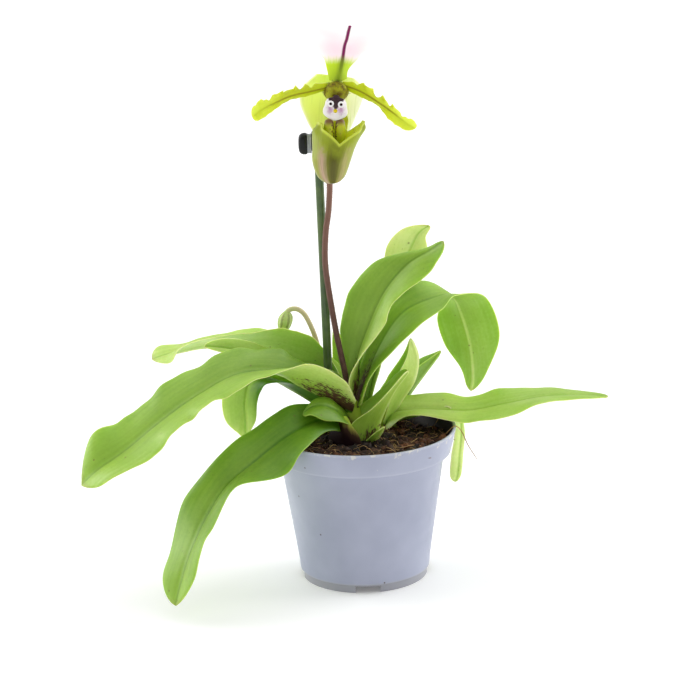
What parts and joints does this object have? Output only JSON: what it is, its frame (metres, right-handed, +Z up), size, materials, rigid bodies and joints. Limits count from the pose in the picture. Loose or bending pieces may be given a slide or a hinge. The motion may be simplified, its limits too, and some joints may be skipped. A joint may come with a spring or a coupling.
{
  "type": "potted slipper orchid",
  "caption": "Slipper orchid in a round nursery pot, with arching strap leaves, an open pouched bloom tied to a stake, and a nodding bud.",
  "frame": {"origin": "middle of the bounding box's underside, on the surface that the pot stands on", "axes": "+Z is up along the pot's axis, the bloom faces -Y, and the longest leaf reaches to -X"},
  "size_m": [0.2486, 0.1146, 0.2662],
  "materials": {
    "pot_plastic": "matte moulded polypropylene, grey-blue",
    "bark_and_coir": "coarse damp bark and coconut fibre",
    "crown_tissue": "smooth living stem with maroon sheaths",
    "stake_coating": "dark green coated rod",
    "scape_tissue": "downy maroon flower stem",
    "bud_scape_tissue": "downy pale tan stem",
    "bud_tissue": "green bud with darker stripes",
    "clip_black": "black moulded plastic",
    "clip_grey": "grey moulded plastic",
    "leaf": "smooth living leaf, mid green",
    "pale_leaf": "smooth living leaf, lighter green",
    "green_tissue": "green living tissue",
    "column_tissue": "olive living tissue with dark hairs",
    "pale_green_sepal": "pale yellow-green sepal",
    "white_sepal": "white sepal with a purple midline",
    "green_petal": "crisped green petal",
    "lip_tissue": "glossy green-olive pouch",
    "staminode_tissue": "glossy lilac-white shield"
  },
  "bodies": {
    "root": {"pot": "pot_plastic", "growing_medium": "bark_and_coir", "crown": "crown_tissue", "stake": "stake_coating", "scape": "scape_tissue", "bud_scape": "bud_scape_tissue", "bud": "bud_tissue", "clip_ring": "clip_black", "clip_band": "clip_grey", "clip_grip": "clip_black", "leaf_small_front": "leaf", "leaf_small_right": "leaf", "leaf_stub": "leaf", "leaf_left_long": "leaf", "leaf_left_low": "leaf", "leaf_left_droop": "leaf", "leaf_left_back": "leaf", "leaf_left_mid": "pale_leaf", "leaf_up": "leaf", "leaf_fold_right": "leaf", "leaf_back": "pale_leaf", "leaf_back_small": "pale_leaf", "leaf_thin_back": "leaf", "leaf_boat": "leaf", "leaf_small_back": "pale_leaf", "leaf_right": "leaf", "leaf_right_hang": "pale_leaf", "ovary": "green_tissue", "bract": "green_tissue", "column": "column_tissue", "synsepal": "pale_green_sepal", "dorsal_sepal": "white_sepal", "petal_left": "green_petal", "petal_right": "green_petal", "lip": "lip_tissue", "staminode": "staminode_tissue"}
  },
  "joints": []
}
